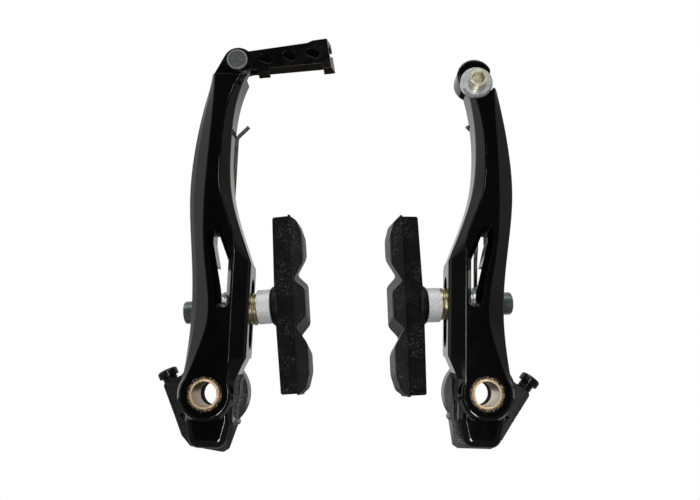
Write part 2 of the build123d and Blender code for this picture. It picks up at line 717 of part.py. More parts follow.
def pad_notch(end):
    """Tool for one notch between two lobes: it runs outward to the pad's rear; end is 1 or -1."""
    lead = OVERCUT / 4
    corners = [
        (PAD_THICK + lead, end * (NOTCH_OUTER + END_LOBE_ROUND)),
        (PAD_THICK, end * NOTCH_OUTER),
        (PAD_THICK - NOTCH_DEPTH, end * NOTCH_APEX),
        (PAD_THICK, end * NOTCH_INNER),
        (PAD_THICK + lead, end * (NOTCH_INNER - MID_LOBE_ROUND)),
    ]
    radii = [0, END_LOBE_ROUND, NOTCH_ROUND, MID_LOBE_ROUND, 0]
    outline = make_face(FilletPolyline(*corners, radius=radii, close=True))
    along = Plane(origin=(0, 0, -PAD_BACK), x_dir=(0, 0, -1), z_dir=(0, 1, 0))
    run = (-end * math.tan(math.radians(NOTCH_SLANT)), 1, 0)
    return extrude(along * outline, amount=PAD_WIDTH, dir=run, both=True)


def brake_pad():
    """Moulded block: backing with a roof and a boss, a parting lip, and three lobes on its face."""
    along = Plane(origin=(0, 0, -PAD_BACK), x_dir=(0, 0, -1), z_dir=(0, 1, 0))
    block = extrude(along * pad_side_face(), amount=PAD_WIDTH, both=True)
    block -= pad_notch(1)
    block -= pad_notch(-1)
    across = Plane(origin=(0, 0, -PAD_BACK), x_dir=(0, 0, -1), z_dir=(-1, 0, 0))
    block &= extrude(across * pad_cross_face(), amount=PAD_LENGTH, both=True)
    boss = disc(PAD_BOSS_R, -PAD_BACK - PAD_ROOF, -PAD_BACK + PAD_BOSS_PROUD)
    block += fillet(boss.edges().group_by(Axis.Z)[-1], PAD_BOSS_ROUND)
    block -= disc(PLATE_R + FIT, -PLATE_START - PLATE_THICK - FIT, -PLATE_START + FIT)
    return block - disc(STUD_R + FIT, -PLATE_START, 0)


def link_frame():
    """Frame of the cable link on its rivet: x runs along it towards the other arm, y up."""
    rise = math.radians(LINK_RISE)
    return Plane(
        origin=(RIVET_REACH, 0, RIVET_HEIGHT),
        x_dir=(-math.cos(rise), 0, math.sin(rise)),
        z_dir=(0, 1, 0),
    )


def link_slab(outline, y_front, y_back):
    return extrude(link_frame().offset(y_front) * outline, amount=y_back - y_front)


def link_bottom(along):
    """Height of the link's lower edge this far from the rivet."""
    return LINK_BOTTOM + (LINK_BOTTOM_END - LINK_BOTTOM) * along / LINK_LENGTH


def link_plate():
    crest = LINK_TOP + LINK_CREST
    corners = [
        (0, LINK_TOP),
        (LINK_LENGTH - LINK_CREST_LENGTH, LINK_TOP),
        (LINK_LENGTH - LINK_CREST_LENGTH + LINK_CREST_RAMP, crest),
        (LINK_LENGTH, crest),
        (LINK_LENGTH, LINK_BOTTOM_END),
        (LINK_EYE_R, LINK_BOTTOM),
        (0, -LINK_EYE_R),
    ]
    plate = make_face(Polyline(*corners, close=True)) + Circle(LINK_EYE_R)
    return plate - Circle(RIVET_R + RUNNING_FIT)


def link_holes():
    holes = Sketch()
    for index in range(LINK_HOLES):
        along = LINK_HOLE_START + index * LINK_HOLE_PITCH
        middle = (LINK_TOP + link_bottom(along)) / 2
        slot = SlotOverall(LINK_HOLE_LENGTH, LINK_HOLE_WIDTH, rotation=-LINK_HOLE_SLANT)
        holes += Pos(along, middle) * slot
    return holes


def link_strip(start, end, above, below, front, back):
    """Bar across the link, along its lower edge."""
    corners = [
        (start, link_bottom(start) + above),
        (end, link_bottom(end) + above),
        (end, link_bottom(end) - below),
        (start, link_bottom(start) - below),
    ]
    return link_slab(make_face(Polyline(*corners, close=True)), front, back)


def cable_link():
    """Folded channel: two side plates, a web under them and an end plate with the cable seat."""
    front = TONGUE_FRONT - LINK_FIT - LINK_SHEET
    back = TONGUE_BACK + LINK_FIT + LINK_SHEET
    link = link_slab(link_plate() - link_holes(), front, front + LINK_SHEET)
    link += link_slab(link_plate(), back - LINK_SHEET, back)
    link += link_strip(LINK_WEB_START, LINK_LENGTH, LINK_SHEET, 0, front, back)
    link += link_strip(LINK_WEB_START, LINK_WEB_START + LINK_TAB_LENGTH, LINK_SHEET, LINK_TAB, front, back)
    lip = link_bottom(LINK_LENGTH) - LINK_END_BOTTOM
    link += link_strip(LINK_LENGTH - LINK_LIP, LINK_LENGTH, LINK_SHEET, lip, front, back)
    return link + link_end(front, back) - cable_seat(front, back)


def link_end(front, back):
    """End plate, turned a little towards the front."""
    lead = math.tan(math.radians(LINK_END_SLANT)) * (back - front)
    bottom = LINK_END_BOTTOM
    top = LINK_TOP + LINK_CREST
    footprint = make_face(
        Polyline(
            (LINK_LENGTH - LINK_SHEET, front),
            (LINK_LENGTH, front),
            (LINK_LENGTH + lead, back),
            (LINK_LENGTH - LINK_SHEET, back),
            close=True,
        )
    )
    link = link_frame()
    plan = Plane(origin=link.origin + link.y_dir * bottom, x_dir=link.x_dir, z_dir=-link.y_dir)
    return extrude(plan * footprint, amount=bottom - top)


def cable_seat(front, back):
    """Keyhole through the end of the link for the cable's lead pipe, open to the back."""
    link = link_frame()
    middle = link.origin - link.y_dir * SEAT_DROP + Vector(0, (front + back) / 2, 0)
    plane = Plane(origin=middle, x_dir=(0, 1, 0), z_dir=link.x_dir)
    keyhole = Circle(SEAT_R) + Pos(BEYOND / 2, 0) * Rectangle(BEYOND, SEAT_SLIT)
    return extrude(plane.offset(LINK_LENGTH - 2 * LINK_SHEET) * keyhole, amount=BEYOND)


def link_rivet():
    front = TONGUE_FRONT - LINK_FIT - LINK_SHEET - STACK_GAP
    back = TONGUE_BACK + LINK_FIT + LINK_SHEET + STACK_GAP
    head = rod(RIVET_REACH, RIVET_HEIGHT, RIVET_HEAD_R, front - RIVET_HEAD, front)
    head = chamfer(head.edges().group_by(Axis.Y)[0], RIVET_HEAD / 3)
    tail = rod(RIVET_REACH, RIVET_HEIGHT, RIVET_HEAD_R, back, back + RIVET_HEAD)
    tail = fillet(tail.edges().group_by(Axis.Y)[-1], RIVET_HEAD / 2)
    return head + tail + rod(RIVET_REACH, RIVET_HEIGHT, RIVET_R, front, back)


def anchor_washer():
    front = SEAT_FRONT - ANCHOR_WASHER
    washer = rod(ANCHOR_REACH, ANCHOR_HEIGHT, ANCHOR_WASHER_R, front, SEAT_FRONT)
    washer = chamfer(washer.edges().group_by(Axis.Y)[0], ANCHOR_WASHER_STEP)
    hole_r = ANCHOR_BOLT_R + THREAD_FIT
    return washer - rod(ANCHOR_REACH, ANCHOR_HEIGHT, hole_r, front - OVERCUT, SEAT_FRONT + OVERCUT)


def anchor_bolt():
    under = SEAT_FRONT - ANCHOR_WASHER
    top = under - ANCHOR_HEAD
    head = rod(ANCHOR_REACH, ANCHOR_HEIGHT, ANCHOR_HEAD_R, top, under)
    head = fillet(head.edges().group_by(Axis.Y)[0], (ANCHOR_HEAD_R - ANCHOR_HEX / math.sqrt(3)) / 2)
    hexagon = Pos(ANCHOR_REACH, ANCHOR_HEIGHT) * RegularPolygon(ANCHOR_HEX / 2, 6, major_radius=False)
    head -= slab(hexagon, top - OVERCUT, top + ANCHOR_HEX_DEPTH)
    return head + rod(ANCHOR_REACH, ANCHOR_HEIGHT, ANCHOR_BOLT_R, under, ARM_BACK)


def pieces_of(side):
    """Every piece of one side, drawn about its pivot."""
    pieces = {
        "arm": arm(side),
        "pivot_bushing": pivot_bushing(),
        "spring_holder": turned(spring_holder(side), side),
        "locating_pin": turned(locating_pin(), side),
        "spring_stop": spring_stop(side),
        "tension_screw": turned(tension_screw(side), side),
        "return_spring": return_spring(side),
        "inner_dome_washer": beside_stud(dome_washer(-1), side),
        "outer_dome_washer": beside_stud(dome_washer(1), side),
        "inner_cup_washer": on_stud(cup_washer(-1, INNER_CUP_END), side),
        "outer_cup_washer": on_stud(cup_washer(1, OUTER_CUP_END), side),
        "flat_washer": on_stud(flat_washer(), side),
        "pad_nut": on_stud(pad_nut(), side),
        "pad_stud": on_stud(pad_stud(), side),
        "brake_pad": on_stud(brake_pad(), side),
    }
    if side == "left":
        pieces["cable_link"] = cable_link()
        pieces["link_rivet"] = link_rivet()
    else:
        pieces["anchor_washer"] = anchor_washer()
        pieces["anchor_bolt"] = anchor_bolt()
    return pieces


def main():
    os.makedirs("parts", exist_ok=True)
    for side in SIDES:
        for name, piece in pieces_of(side).items():
            export_step(place(piece, side), f"parts/{side}_{name}.step")


main()
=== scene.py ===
import json
import math

import bmesh
import bpy
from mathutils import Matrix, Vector


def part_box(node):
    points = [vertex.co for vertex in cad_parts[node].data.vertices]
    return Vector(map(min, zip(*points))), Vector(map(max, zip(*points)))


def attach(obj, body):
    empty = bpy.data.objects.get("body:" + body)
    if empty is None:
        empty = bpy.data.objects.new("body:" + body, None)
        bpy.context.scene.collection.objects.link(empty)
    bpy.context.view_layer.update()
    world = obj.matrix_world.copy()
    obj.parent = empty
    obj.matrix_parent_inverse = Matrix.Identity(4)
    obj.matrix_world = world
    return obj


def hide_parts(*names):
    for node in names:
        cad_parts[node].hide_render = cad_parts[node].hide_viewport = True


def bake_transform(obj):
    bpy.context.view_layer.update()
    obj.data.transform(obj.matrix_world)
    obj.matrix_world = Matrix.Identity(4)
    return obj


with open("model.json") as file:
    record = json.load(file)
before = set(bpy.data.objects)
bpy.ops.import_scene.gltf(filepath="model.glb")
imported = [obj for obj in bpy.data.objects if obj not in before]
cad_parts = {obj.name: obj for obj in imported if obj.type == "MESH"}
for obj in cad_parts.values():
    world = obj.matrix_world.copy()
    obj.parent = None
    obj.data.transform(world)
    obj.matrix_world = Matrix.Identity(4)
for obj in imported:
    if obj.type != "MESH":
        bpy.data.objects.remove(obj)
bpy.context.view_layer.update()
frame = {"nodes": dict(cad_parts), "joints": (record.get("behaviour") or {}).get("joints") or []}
nodes = frame["nodes"]
joints = {joint["name"]: joint for joint in frame["joints"]}

MM = 0.001
SIDES = ("left", "right")
WHITE = (1.0, 1.0, 1.0, 1.0)

# Material slot of each node, by its name without the side
SLOTS = {
    "arm": "arm_enamel",
    "pivot_bushing": "bushing_brass",
    "spring_holder": "holder_plastic",
    "locating_pin": "bright_steel",
    "spring_stop": "bright_steel",
    "tension_screw": "black_steel",
    "return_spring": "spring_steel",
    "inner_dome_washer": "yellow_zinc",
    "outer_dome_washer": "bright_steel",
    "inner_cup_washer": "silver_alloy",
    "outer_cup_washer": "silver_alloy",
    "flat_washer": "bright_steel",
    "pad_nut": "nut_steel",
    "pad_stud": "bright_steel",
    "brake_pad": "pad_rubber",
    "cable_link": "link_enamel",
    "link_rivet": "rivet_steel",
    "anchor_washer": "bright_steel",
    "anchor_bolt": "yellow_zinc_bolt",
}


def kind_of(name):
    """The node's name without its side."""
    return name.split("_", 1)[1]


def grey(level):
    return (level, level, level)


# Shader nodes

# Part of a noise texture's range that a tone or a roughness is spread over
NOISE_SPAN = (0.3, 0.7)
# Sockets of the Mix node that carry colours
MIX_FIRST, MIX_SECOND, MIX_RESULT = 6, 7, 2
BEVEL_SAMPLES = 6


def add_node(tree, kind, inputs=(), **settings):
    """A shader node whose inputs are set to values or linked to other nodes."""
    made = tree.nodes.new("ShaderNode" + kind)
    for key, value in settings.items():
        setattr(made, key, value)
    for key, value in dict(inputs).items():
        if isinstance(value, bpy.types.NodeSocket):
            tree.links.new(value, made.inputs[key])
        else:
            made.inputs[key].default_value = value
    return made


def colour_ramp(tree, value, stops):
    """Colours along a value, each stop with its place and its colour."""
    made = add_node(tree, "ValToRGB", {"Fac": value})
    elements = made.color_ramp.elements
    while len(elements) < len(stops):
        elements.new(0.5)
    for element, (at, colour) in zip(elements, stops):
        element.position = at
        element.color = (*colour, 1.0)
    return made.outputs["Color"]


class Surface:
    """A principled material and short calls for the textures that feed it."""

    def __init__(self, name, **sockets):
        self.material = bpy.data.materials.new(name)
        self.material.use_nodes = True
        self.tree = self.material.node_tree
        self.bsdf = self.tree.nodes["Principled BSDF"]
        for socket, value in sockets.items():
            self.bsdf.inputs[socket.replace("_", " ")].default_value = value

    def node(self, kind, inputs=(), **settings):
        return add_node(self.tree, kind, inputs, **settings)

    def place(self, stretch=(1, 1, 1)):
        """Where on the object, in metres, drawn out along some axes."""
        source = self.node("TexCoord").outputs["Object"]
        return self.node("Mapping", {"Vector": source, "Scale": stretch}).outputs["Vector"]

    def spot(self, axis):
        """One coordinate of the place on the object, in metres."""
        return self.node("SeparateXYZ", {0: self.place()}).outputs[axis]

    def facing(self, axis):
        """How far the surface faces along an axis, from -1 to 1."""
        normal = self.node("TexCoord").outputs["Normal"]
        return self.node("SeparateXYZ", {0: normal}).outputs[axis]

    def from_axis(self, x, z):
        """Distance from an axis along Y, on the right side or its mirror on the left."""
        across = self.maths("SUBTRACT", self.maths("ABSOLUTE", self.spot("X")), x)
        up = self.maths("SUBTRACT", self.spot("Z"), z)
        squares = [self.maths("POWER", part, 2.0) for part in (across, up)]
        return self.maths("SQRT", self.maths("ADD", *squares))

    def noise(self, size, detail=4.0, rough=0.55, stretch=(1, 1, 1)):
        """Cloudy noise with features of about this size in metres."""
        inputs = {
            "Vector": self.place(stretch),
            "Scale": 1 / size,
            "Detail": detail,
            "Roughness": rough,
        }
        return self.node("TexNoise", inputs).outputs["Fac"]

    def cells(self, size):
        """Distance from the middles of cells of about this size in metres."""
        inputs = {"Vector": self.place(), "Scale": 1 / size}
        return self.node("TexVoronoi", inputs).outputs["Distance"]

    def remap(self, value, low, high, to_low, to_high):
        """Carries one range of a value over to another, and stops at its ends."""
        inputs = {
            "Value": value,
            "From Min": low,
            "From Max": high,
            "To Min": to_low,
            "To Max": to_high,
        }
        return self.node("MapRange", inputs).outputs["Result"]

    def spread(self, noise, to_low, to_high):
        """A value that follows a noise between two ends."""
        return self.remap(noise, *NOISE_SPAN, to_low, to_high)

    def ramp(self, value, *stops):
        return colour_ramp(self.tree, value, stops)

    def tones(self, noise, dark, light, span=NOISE_SPAN):
        """A colour that follows a noise between two tones."""
        return self.ramp(noise, (span[0], dark), (span[1], light))

    def mix(self, share, first, second):
        """Two colours mixed, each a tone or the output of a node."""
        inputs = {0: share}
        for key, colour in ((MIX_FIRST, first), (MIX_SECOND, second)):
            linked = isinstance(colour, bpy.types.NodeSocket)
            inputs[key] = colour if linked else (*colour, 1.0)
        return self.node("Mix", inputs, data_type="RGBA").outputs[MIX_RESULT]

    def maths(self, operation, first, second=0.0):
        return self.node("Math", {0: first, 1: second}, operation=operation).outputs[0]

    def worn_edge(self, radius):
        """Normal that rounds the sharp edges a little."""
        return self.node("Bevel", {"Radius": radius}, samples=BEVEL_SAMPLES).outputs["Normal"]

    def bump(self, height, strength, distance, below=None):
        """Normal of a rough surface, on top of another normal if one is given."""
        inputs = {"Height": height, "Strength": strength, "Distance": distance}
        if below is not None:
            inputs["Normal"] = below
        return self.node("Bump", inputs).outputs["Normal"]

    def feed(self, **sockets):
        """Links textures to the shader and gives the finished material."""
        for socket, output in sockets.items():
            self.tree.links.new(output, self.bsdf.inputs[socket.replace("_", " ")])
        return self.material


# Finishes


def arm_enamel():
    """Thick gloss black with a little orange peel and dust."""
    s = Surface("arm_enamel")
    tone = s.tones(s.noise(18 * MM), (0.0010, 0.0010, 0.0012), (0.0019, 0.0019, 0.0022))
    dust = (0.05, 0.05, 0.052)
    specks = s.remap(s.noise(0.35 * MM, detail=1.0), 0.77, 0.81, 0.0, 0.5)
    waves = s.noise(1.3 * MM, detail=2.0)
    peel = s.bump(waves, strength=0.07, distance=0.05 * MM, below=s.worn_edge(0.1 * MM))
    grain = s.noise(0.22 * MM, detail=3.0)
    return s.feed(
        Base_Color=s.mix(specks, tone, dust),
        Roughness=s.spread(s.noise(4 * MM), 0.06, 0.11),
        Normal=s.bump(grain, strength=0.04, distance=0.02 * MM, below=peel),
    )


def link_enamel():
    """Thinner black on folded sheet, browner underneath, with rubbed spots."""
    s = Surface("link_enamel", Specular_IOR_Level=0.28)
    tone = s.tones(s.noise(9 * MM), (0.0010, 0.0010, 0.0010), (0.0022, 0.0020, 0.0020))
    brown = (0.009, 0.006, 0.005)
    under = s.remap(s.facing("Z"), -0.9, -0.5, 0.6, 0.0)
    rubbed = (0.045, 0.04, 0.04)
    rub = s.remap(s.noise(0.5 * MM, detail=2.0, rough=0.7), 0.72, 0.82, 0.0, 0.3)
    grain = s.noise(0.5 * MM, detail=3.0)
    return s.feed(
        Base_Color=s.mix(rub, s.mix(under, tone, brown), rubbed),
        Roughness=s.spread(s.noise(3 * MM), 0.1, 0.2),
        Normal=s.bump(grain, strength=0.06, distance=0.03 * MM, below=s.worn_edge(0.3 * MM)),
    )


def metal(name, dark, light, rough, mark, stretch=(1, 1, 1), shine=1.0):
    """Plated or turned metal with a cloudy tone and fine tool marks."""
    s = Surface(name, Metallic=shine)
    marks = s.noise(mark, detail=3.0, rough=0.6, stretch=stretch)
    return s.feed(
        Base_Color=s.tones(s.noise(2.4 * MM), dark, light, span=(0.32, 0.68)),
        Roughness=s.spread(marks, *rough),
        Normal=s.bump(marks, strength=0.12, distance=0.02 * MM, below=s.worn_edge(0.12 * MM)),
    )


# Rings of the bushing's front, as distance from the pivot axis: bore, rim, painted collar
PIVOT_X = abs(joints["left_arm_pivot"]["pos_m"][0])
BORE_R = 4.12 * MM
RIM_R = 4.75 * MM
# Depth from which the bore is painted dark as shade, and half the width of the change
DEEP_BORE_SHADE_Y = -6.7 * MM
DEEP_BORE_SHADE_EDGE = 0.2 * MM


def bushing_brass():
    """Drawn brass: the left bore painted darker as shade and the right bore painted lighter as
    light, the deep end of each bore painted dark as shade, a pale rim, and the arm's paint over
    the knurl.
    """
    s = Surface("bushing_brass")
    far = s.from_axis(PIVOT_X, 0.0)
    in_bore = s.remap(far, BORE_R, BORE_R - 0.05 * MM, 0.0, 1.0)
    on_collar = s.remap(far, RIM_R, RIM_R + 0.1 * MM, 0.0, 1.0)
    clouds = s.noise(2.2 * MM)
    rim = s.tones(clouds, (0.52, 0.36, 0.20), (0.74, 0.57, 0.36))

    # The left bore is painted darker as shade and the right bore lighter as light: one brass,
    # shaded and lit.
    left_bore_painted_shade = s.tones(clouds, (0.38, 0.23, 0.13), (0.52, 0.34, 0.21))
    right_bore_painted_light = s.tones(clouds, (0.74, 0.60, 0.44), (0.90, 0.77, 0.60))
    on_right = s.remap(s.spot("X"), -PIVOT_X / 2, PIVOT_X / 2, 0.0, 1.0)
    # Past this depth both bores are painted near black as shade, and made rougher.
    deep_bore_shade = s.remap(s.spot("Y"), DEEP_BORE_SHADE_Y - DEEP_BORE_SHADE_EDGE, DEEP_BORE_SHADE_Y + DEEP_BORE_SHADE_EDGE, 0.0, 0.96)
    bore = s.mix(deep_bore_shade, s.mix(on_right, left_bore_painted_shade, right_bore_painted_light), (0.008, 0.006, 0.005))
    deep_bore_roughness = s.maths("MULTIPLY", in_bore, s.remap(deep_bore_shade, 0.0, 1.0, 0.02, 0.6))

    worn = s.remap(s.noise(0.5 * MM, detail=3.0, rough=0.6), 0.5, 0.6, 0.0, 0.8)
    collar = s.mix(worn, (0.004, 0.0035, 0.003), (0.42, 0.29, 0.14))

    lines = s.noise(0.16 * MM, detail=3.0, rough=0.6, stretch=(0.12, 1.0, 0.12))
    bare = s.maths("SUBTRACT", in_bore, on_collar)
    return s.feed(
        Base_Color=s.mix(on_collar, s.mix(in_bore, rim, bore), collar),
        Metallic=s.remap(bare, -1.0, 1.0, 0.3, 0.95),
        Roughness=s.maths("ADD", s.spread(lines, 0.26, 0.4), deep_bore_roughness),
        Normal=s.bump(lines, strength=0.16, distance=0.02 * MM, below=s.worn_edge(0.12 * MM)),
    )


def yellow_zinc():
    """Yellow chromate on zinc: gold with pink and green clouds and darker turning lines."""
    s = Surface("yellow_zinc", Metallic=0.85)
    tone = s.ramp(
        s.noise(1.6 * MM, detail=2.0),
        (0.25, (0.28, 0.21, 0.095)),
        (0.45, (0.42, 0.35, 0.19)),
        (0.6, (0.40, 0.36, 0.22)),
        (0.75, (0.44, 0.33, 0.22)),
    )
    turning = s.noise(0.35 * MM, detail=2.0, rough=0.6, stretch=(1.0, 0.06, 0.06))
    groove = s.remap(turning, 0.42, 0.5, 0.65, 0.0)
    marks = s.noise(0.2 * MM, detail=3.0, rough=0.6)
    return s.feed(
        Base_Color=s.mix(groove, tone, (0.10, 0.07, 0.03)),
        Roughness=s.spread(marks, 0.2, 0.36),
        Normal=s.bump(turning, strength=0.25, distance=0.05 * MM, below=s.worn_edge(0.12 * MM)),
    )


def silver_alloy():
    """Matt aluminium with the fine pits of a tumbled part."""
    s = Surface("silver_alloy", Metallic=0.35)
    pits = s.cells(0.34 * MM)
    grain = s.noise(0.45 * MM, detail=3.0, rough=0.6)
    return s.feed(
        Base_Color=s.tones(grain, grey(0.42), grey(0.66), span=(0.35, 0.65)),
        Roughness=s.spread(grain, 0.42, 0.56),
        Normal=s.bump(pits, strength=0.25, distance=0.03 * MM, below=s.worn_edge(0.2 * MM)),
    )


def holder_plastic():
    """Smooth black moulding with a faintly uneven gloss."""
    s = Surface("holder_plastic")
    grain = s.noise(1.6 * MM, detail=2.0, rough=0.5)
    return s.feed(
        Base_Color=s.tones(
            s.noise(6 * MM), (0.0020, 0.0020, 0.0022), (0.0045, 0.0045, 0.0048)
        ),
        Roughness=s.spread(grain, 0.24, 0.34),
        Normal=s.bump(grain, strength=0.012, distance=0.04 * MM),
    )


def black_steel():
    """Blackened steel with fine tool marks."""
    s = Surface("black_steel", Metallic=0.2)
    marks = s.noise(0.2 * MM, detail=3.0, rough=0.6)
    return s.feed(
        Base_Color=s.tones(s.noise(1.5 * MM), (0.003, 0.003, 0.0032), (0.009, 0.0085, 0.0085)),
        Roughness=s.spread(marks, 0.14, 0.26),
        Normal=s.bump(marks, strength=0.1, distance=0.02 * MM, below=s.worn_edge(0.15 * MM)),
    )


def pad_rubber():
    """Moulded rubber, dull, with mould grain, a paler grey on the faces turned towards the middle,
    and clusters of pale dust.
    """
    s = Surface("pad_rubber", Specular_IOR_Level=0.14)
    grain = s.noise(0.4 * MM, detail=4.0, rough=0.65)
    bloom = s.tones(
        s.noise(5 * MM, detail=5.0, rough=0.6),
        (0.0012, 0.0012, 0.0014),
        (0.0040, 0.0040, 0.0043),
        span=(0.35, 0.75),
    )
    # A paler grey on the faces turned towards the middle.
    inward_tone = s.tones(grain, (0.05, 0.05, 0.051), (0.085, 0.085, 0.086), span=(0.35, 0.7))
    outward = s.maths("MULTIPLY", s.facing("X"), s.maths("SIGN", s.spot("X")))
    inward_faces = s.remap(outward, -0.3, -0.6, 0.0, 1.0)
    dust = (0.08, 0.08, 0.081)
    patches = s.remap(s.noise(7 * MM, detail=3.0), 0.44, 0.62, 0.0, 1.0)
    specks = s.remap(s.noise(0.6 * MM, detail=3.0, rough=0.7), 0.54, 0.72, 0.0, 1.0)
    dusty = s.maths("MULTIPLY", patches, specks)
    waves = s.noise(3.5 * MM, detail=2.0)
    wavy = s.bump(waves, strength=0.3, distance=0.2 * MM, below=s.worn_edge(0.4 * MM))
    return s.feed(
        Base_Color=s.mix(dusty, s.mix(inward_faces, bloom, inward_tone), dust),
        Roughness=s.spread(s.noise(2 * MM), 0.34, 0.48),
        Normal=s.bump(grain, strength=0.35, distance=0.06 * MM, below=wavy),
    )


# The rivet's head: its radius and the width of the painted highlight ring at its rim
RIVET_LOW, RIVET_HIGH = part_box("left_link_rivet")
RIVET_R = (RIVET_HIGH[0] - RIVET_LOW[0]) / 2
RIVET_HIGHLIGHT_WIDTH = 0.5 * MM


def rivet_steel():
    """Grey pressed steel, grainy, with a painted highlight ring at its rim."""
    s = Surface("rivet_steel", Metallic=0.3)
    pivot = joints["link_pivot"]["pos_m"]
    far = s.from_axis(abs(pivot[0]), pivot[2])
    # A ring at the edge of the head is painted pale as a highlight.
    rim = s.remap(far, RIVET_R - RIVET_HIGHLIGHT_WIDTH, RIVET_R - RIVET_HIGHLIGHT_WIDTH / 2, 0.0, 0.8)
    marks = s.noise(0.45 * MM, detail=3.0, rough=0.65)
    tone = s.tones(marks, (0.030, 0.037, 0.034), (0.080, 0.092, 0.086), span=(0.35, 0.65))
    return s.feed(
        Base_Color=s.mix(rim, tone, (0.27, 0.30, 0.28)),
        Roughness=s.spread(marks, 0.3, 0.46),
        Normal=s.bump(marks, strength=0.4, distance=0.02 * MM, below=s.worn_edge(0.2 * MM)),
    )


# Metals that differ only in tone, roughness, tool marks and share of metallic shine
METALS = {
    "bright_steel": {
        "dark": (0.46, 0.49, 0.49),
        "light": (0.64, 0.67, 0.66),
        "rough": (0.18, 0.34),
        "mark": 0.25 * MM,
        "shine": 0.7,
    },
    "nut_steel": {
        "dark": (0.12, 0.14, 0.145),
        "light": (0.24, 0.27, 0.28),
        "rough": (0.16, 0.3),
        "mark": 0.25 * MM,
        "shine": 0.85,
    },
    "spring_steel": {
        "dark": (0.10, 0.098, 0.082),
        "light": (0.20, 0.195, 0.165),
        "rough": (0.28, 0.42),
        "mark": 0.2 * MM,
        "stretch": (1, 1, 0.15),
    },
    "yellow_zinc_bolt": {
        "dark": (0.46, 0.43, 0.29),
        "light": (0.70, 0.66, 0.50),
        "rough": (0.2, 0.36),
        "mark": 0.3 * MM,
        "shine": 0.6,
    },
}

FINISHES = {
    "arm_enamel": arm_enamel(),
    "link_enamel": link_enamel(),
    "bushing_brass": bushing_brass(),
    "holder_plastic": holder_plastic(),
    "black_steel": black_steel(),
    "yellow_zinc": yellow_zinc(),
    "silver_alloy": silver_alloy(),
    "pad_rubber": pad_rubber(),
    "rivet_steel": rivet_steel(),
}
for name, look in METALS.items():
    FINISHES[name] = metal(name, **look)


def paint(obj, slot):
    """Gives the whole object one finish."""
    if obj.material_slots:
        for place in obj.material_slots:
            place.material = FINISHES[slot]
    else:
        obj.data.materials.append(FINISHES[slot])


for name, obj in nodes.items():
    paint(obj, SLOTS[kind_of(name)])


# Pieces that replace plain solids

# Distance within which the vertices of a node's mesh are one
WELD = 0.0005 * MM


def copy_of(node):
    """A welded copy of a node's mesh, ready to be edited."""
    shape = bmesh.new()
    shape.from_mesh(nodes[node].data)
    bmesh.ops.remove_doubles(shape, verts=shape.verts, dist=WELD)
    return shape


def piece(name, shape, slot):
    """A new smooth object of the visual model, at the origin of the row frame."""
    mesh = bpy.data.meshes.new(name)
    shape.to_mesh(mesh)
    shape.free()
    obj = bpy.data.objects.new(name, mesh)
    bpy.context.scene.collection.objects.link(obj)
    mesh.materials.clear()
    mesh.materials.append(FINISHES[slot])
    mesh.polygons.foreach_set("use_smooth", [True] * len(mesh.polygons))
    return obj


# Return springs: the wire in short lengths
WIRE_STEP = 1.6 * MM


def long_edges(shape):
    return [edge for edge in shape.edges if edge.calc_length() > WIRE_STEP]


def spring_wire(side):
    """The return spring's wire, in short lengths, in place of the plain node."""
    node = f"{side}_return_spring"
    shape = copy_of(node)
    while edges := long_edges(shape):
        bmesh.ops.subdivide_edges(shape, edges=edges, cuts=1)
        wide = [face for face in shape.faces if len(face.verts) > 3]
        bmesh.ops.triangulate(shape, faces=wide)
    wire = piece(f"{side}_spring_wire", shape, "spring_steel")
    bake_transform(wire)
    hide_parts(node)


# Thread of the tension screws: radius at the crest, depth and pitch, and how finely it is drawn
SCREW_R = 2.0 * MM
SCREW_THREAD = 0.3 * MM
SCREW_PITCH = 0.7 * MM
THREAD_SIDES = 28
THREAD_ROWS = 6
# How near to the shank's radius a vertex of the shank lies, and the angle of a sharp edge
SHANK_SLACK = 0.02 * MM
SHARP_ANGLE = math.radians(50)


def thread_surface(shape, foot, axis, start, end):
    """Adds a threaded shank between two distances along the axis, closed at its start."""
    across = axis.orthogonal()
    beside = axis.cross(across)
    count = round((end - start) / SCREW_PITCH * THREAD_ROWS)
    rings = []
    for row in range(count + 1):
        along = start + (end - start) * row / count
        ring = []
        for step in range(THREAD_SIDES):
            share = step / THREAD_SIDES
            phase = (along / SCREW_PITCH - share) % 1.0
            radius = SCREW_R - SCREW_THREAD * abs(2 * phase - 1)
            turn = 2 * math.pi * share
            outward = across * math.cos(turn) + beside * math.sin(turn)
            ring.append(shape.verts.new(foot + axis * along + outward * radius))
        rings.append(ring)
    shape.faces.new(list(reversed(rings[0])))
    for low, high in zip(rings, rings[1:]):
        for step in range(THREAD_SIDES):
            after = (step + 1) % THREAD_SIDES
            shape.faces.new((low[step], low[after], high[after], high[step]))


def threaded_screw(side):
    """The tension screw with a thread in place of its plain shank."""
    node = f"{side}_tension_screw"
    joint = joints[f"{side}_screw_turn"]
    foot = Vector(joint["pos_m"])
    axis = Vector(joint["axis"]).normalized()
    shape = copy_of(node)
    shank = set()
    for vert in shape.verts:
        off = vert.co - foot
        if abs((off - axis * off.dot(axis)).length - SCREW_R) < SHANK_SLACK:
            shank.add(vert)
    reach = [(vert.co - foot).dot(axis) for vert in shank]
    plain = [face for face in shape.faces if all(vert in shank for vert in face.verts)]
    bmesh.ops.delete(shape, geom=plain, context="FACES")
    thread_surface(shape, foot, axis, min(reach), max(reach) + SCREW_THREAD)
    for edge in shape.edges:
        edge.smooth = edge.calc_face_angle(0.0) < SHARP_ANGLE
    screw = piece(f"{side}_threaded_screw", shape, "black_steel")
    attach(screw, f"{side}_screw")
    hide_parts(node)


for side in SIDES:
    spring_wire(side)
    threaded_screw(side)


# Camera of the photograph: place, tilt and lens were found from the pivots, pads and tips
CAMERA_PLACE = (0.00134, -0.2519, 0.0062)
CAMERA_PITCH = 10.0
CAMERA_LENS = 36.36
CAMERA_SENSOR = 36.0
CAMERA_NEAR = 0.01

